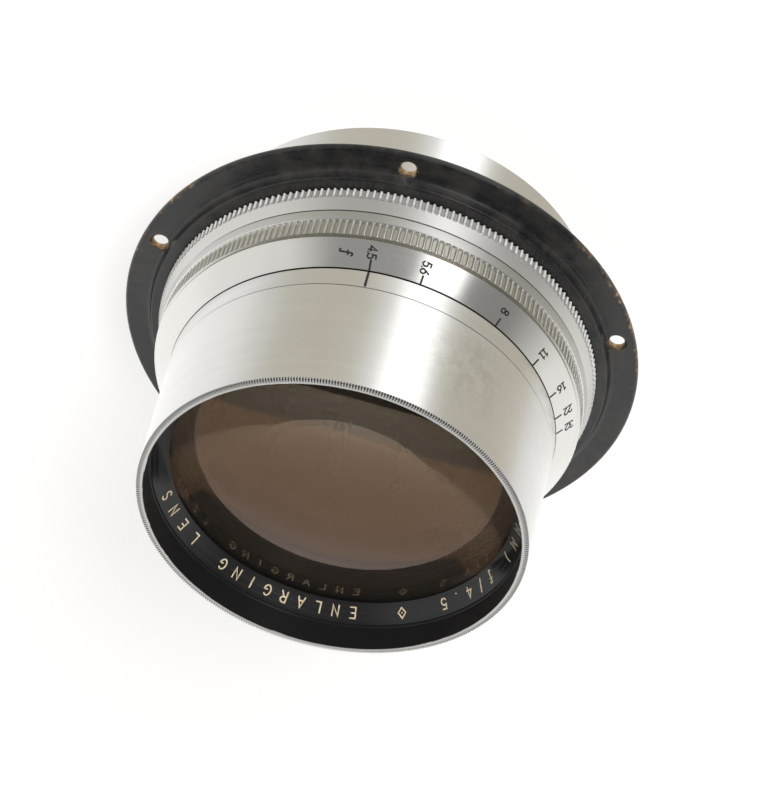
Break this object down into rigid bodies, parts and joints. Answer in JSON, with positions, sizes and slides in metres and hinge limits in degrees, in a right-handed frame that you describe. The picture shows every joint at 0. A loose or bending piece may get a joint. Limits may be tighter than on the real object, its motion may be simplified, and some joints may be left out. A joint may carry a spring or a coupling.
{
  "type": "enlarger lens",
  "caption": "Large barrel-mounted enlarging lens in satin metal, with a black flange, a knurled aperture ring, an iris, and glass in front and rear cells.",
  "frame": {"origin": "on the optical axis, in the plane of the rear rim that the lens stands on", "axes": "+Z along the optical axis towards the front; the aperture index faces -Y; +X to the right of the index, seen with the front up"},
  "size_m": [0.0954, 0.0954, 0.0632],
  "materials": {
    "satin_metal": "satin, lathe-turned, lightly oxidised",
    "black_paint": "satin black enamel on brass, worn to brass at the edges",
    "black_anodised": "semi-gloss black",
    "brass": "turned, dull",
    "blade_steel": "blackened spring steel",
    "spring_steel": "bare spring steel",
    "lens_glass": "polished, with a warm coating"
  },
  "bodies": {
    "barrel": {"mounting_flange": "black_paint", "main_barrel": "satin_metal", "index_collar": "satin_metal", "ring_wave_spring": "spring_steel", "front_cell_barrel": "satin_metal", "name_ring": "black_anodised", "front_element": "lens_glass", "front_spacer_ring": "black_anodised", "second_element": "lens_glass", "iris_housing": "brass", "iris_retaining_ring": "black_anodised", "rear_cell_barrel": "satin_metal", "rear_retaining_ring": "black_anodised", "third_element": "lens_glass", "fourth_element": "lens_glass"},
    "aperture_ring": {"aperture_ring": "satin_metal", "drive_screw": "brass", "iris_cam_ring": "brass"},
    "iris_blade_01": {"iris_blade_01": "blade_steel"},
    "iris_blade_02": {"iris_blade_02": "blade_steel"},
    "iris_blade_03": {"iris_blade_03": "blade_steel"},
    "iris_blade_04": {"iris_blade_04": "blade_steel"},
    "iris_blade_05": {"iris_blade_05": "blade_steel"},
    "iris_blade_06": {"iris_blade_06": "blade_steel"},
    "iris_blade_07": {"iris_blade_07": "blade_steel"},
    "iris_blade_08": {"iris_blade_08": "blade_steel"},
    "iris_blade_09": {"iris_blade_09": "blade_steel"},
    "iris_blade_10": {"iris_blade_10": "blade_steel"},
    "iris_blade_11": {"iris_blade_11": "blade_steel"},
    "iris_blade_12": {"iris_blade_12": "blade_steel"},
    "iris_blade_13": {"iris_blade_13": "blade_steel"},
    "iris_blade_14": {"iris_blade_14": "blade_steel"},
    "iris_blade_15": {"iris_blade_15": "blade_steel"},
    "iris_blade_16": {"iris_blade_16": "blade_steel"},
    "iris_blade_17": {"iris_blade_17": "blade_steel"},
    "iris_blade_18": {"iris_blade_18": "blade_steel"}
  },
  "joints": [
    {"name": "aperture_ring_turn", "type": "hinge", "parent": "barrel", "child": "aperture_ring", "pos_m": [0, 0, 0.03], "axis": [0, 0, 1], "range_deg": [0, 85.3]},
    {"name": "iris_blade_01_swing", "type": "hinge", "parent": "barrel", "child": "iris_blade_01", "pos_m": [0.031, 0, 0.0255], "axis": [0, 0, 1], "range_deg": [0, 42.7]},
    {"name": "iris_blade_02_swing", "type": "hinge", "parent": "barrel", "child": "iris_blade_02", "pos_m": [0.02913, 0.0106, 0.0255], "axis": [0, 0, 1], "range_deg": [0, 42.7]},
    {"name": "iris_blade_03_swing", "type": "hinge", "parent": "barrel", "child": "iris_blade_03", "pos_m": [0.02375, 0.01993, 0.0255], "axis": [0, 0, 1], "range_deg": [0, 42.7]},
    {"name": "iris_blade_04_swing", "type": "hinge", "parent": "barrel", "child": "iris_blade_04", "pos_m": [0.0155, 0.02685, 0.0255], "axis": [0, 0, 1], "range_deg": [0, 42.7]},
    {"name": "iris_blade_05_swing", "type": "hinge", "parent": "barrel", "child": "iris_blade_05", "pos_m": [0.00538, 0.03053, 0.0255], "axis": [0, 0, 1], "range_deg": [0, 42.7]},
    {"name": "iris_blade_06_swing", "type": "hinge", "parent": "barrel", "child": "iris_blade_06", "pos_m": [-0.00538, 0.03053, 0.0255], "axis": [0, 0, 1], "range_deg": [0, 42.7]},
    {"name": "iris_blade_07_swing", "type": "hinge", "parent": "barrel", "child": "iris_blade_07", "pos_m": [-0.0155, 0.02685, 0.0255], "axis": [0, 0, 1], "range_deg": [0, 42.7]},
    {"name": "iris_blade_08_swing", "type": "hinge", "parent": "barrel", "child": "iris_blade_08", "pos_m": [-0.02375, 0.01993, 0.0255], "axis": [0, 0, 1], "range_deg": [0, 42.7]},
    {"name": "iris_blade_09_swing", "type": "hinge", "parent": "barrel", "child": "iris_blade_09", "pos_m": [-0.02913, 0.0106, 0.0255], "axis": [0, 0, 1], "range_deg": [0, 42.7]},
    {"name": "iris_blade_10_swing", "type": "hinge", "parent": "barrel", "child": "iris_blade_10", "pos_m": [-0.031, 0, 0.0255], "axis": [0, 0, 1], "range_deg": [0, 42.7]},
    {"name": "iris_blade_11_swing", "type": "hinge", "parent": "barrel", "child": "iris_blade_11", "pos_m": [-0.02913, -0.0106, 0.0255], "axis": [0, 0, 1], "range_deg": [0, 42.7]},
    {"name": "iris_blade_12_swing", "type": "hinge", "parent": "barrel", "child": "iris_blade_12", "pos_m": [-0.02375, -0.01993, 0.0255], "axis": [0, 0, 1], "range_deg": [0, 42.7]},
    {"name": "iris_blade_13_swing", "type": "hinge", "parent": "barrel", "child": "iris_blade_13", "pos_m": [-0.0155, -0.02685, 0.0255], "axis": [0, 0, 1], "range_deg": [0, 42.7]},
    {"name": "iris_blade_14_swing", "type": "hinge", "parent": "barrel", "child": "iris_blade_14", "pos_m": [-0.00538, -0.03053, 0.0255], "axis": [0, 0, 1], "range_deg": [0, 42.7]},
    {"name": "iris_blade_15_swing", "type": "hinge", "parent": "barrel", "child": "iris_blade_15", "pos_m": [0.00538, -0.03053, 0.0255], "axis": [0, 0, 1], "range_deg": [0, 42.7]},
    {"name": "iris_blade_16_swing", "type": "hinge", "parent": "barrel", "child": "iris_blade_16", "pos_m": [0.0155, -0.02685, 0.0255], "axis": [0, 0, 1], "range_deg": [0, 42.7]},
    {"name": "iris_blade_17_swing", "type": "hinge", "parent": "barrel", "child": "iris_blade_17", "pos_m": [0.02375, -0.01993, 0.0255], "axis": [0, 0, 1], "range_deg": [0, 42.7]},
    {"name": "iris_blade_18_swing", "type": "hinge", "parent": "barrel", "child": "iris_blade_18", "pos_m": [0.02913, -0.0106, 0.0255], "axis": [0, 0, 1], "range_deg": [0, 42.7]}
  ],
  "couplings": [
    {"joint": "iris_blade_01_swing", "follows": "aperture_ring_turn", "ratio": 0.5},
    {"joint": "iris_blade_02_swing", "follows": "aperture_ring_turn", "ratio": 0.5},
    {"joint": "iris_blade_03_swing", "follows": "aperture_ring_turn", "ratio": 0.5},
    {"joint": "iris_blade_04_swing", "follows": "aperture_ring_turn", "ratio": 0.5},
    {"joint": "iris_blade_05_swing", "follows": "aperture_ring_turn", "ratio": 0.5},
    {"joint": "iris_blade_06_swing", "follows": "aperture_ring_turn", "ratio": 0.5},
    {"joint": "iris_blade_07_swing", "follows": "aperture_ring_turn", "ratio": 0.5},
    {"joint": "iris_blade_08_swing", "follows": "aperture_ring_turn", "ratio": 0.5},
    {"joint": "iris_blade_09_swing", "follows": "aperture_ring_turn", "ratio": 0.5},
    {"joint": "iris_blade_10_swing", "follows": "aperture_ring_turn", "ratio": 0.5},
    {"joint": "iris_blade_11_swing", "follows": "aperture_ring_turn", "ratio": 0.5},
    {"joint": "iris_blade_12_swing", "follows": "aperture_ring_turn", "ratio": 0.5},
    {"joint": "iris_blade_13_swing", "follows": "aperture_ring_turn", "ratio": 0.5},
    {"joint": "iris_blade_14_swing", "follows": "aperture_ring_turn", "ratio": 0.5},
    {"joint": "iris_blade_15_swing", "follows": "aperture_ring_turn", "ratio": 0.5},
    {"joint": "iris_blade_16_swing", "follows": "aperture_ring_turn", "ratio": 0.5},
    {"joint": "iris_blade_17_swing", "follows": "aperture_ring_turn", "ratio": 0.5},
    {"joint": "iris_blade_18_swing", "follows": "aperture_ring_turn", "ratio": 0.5}
  ]
}
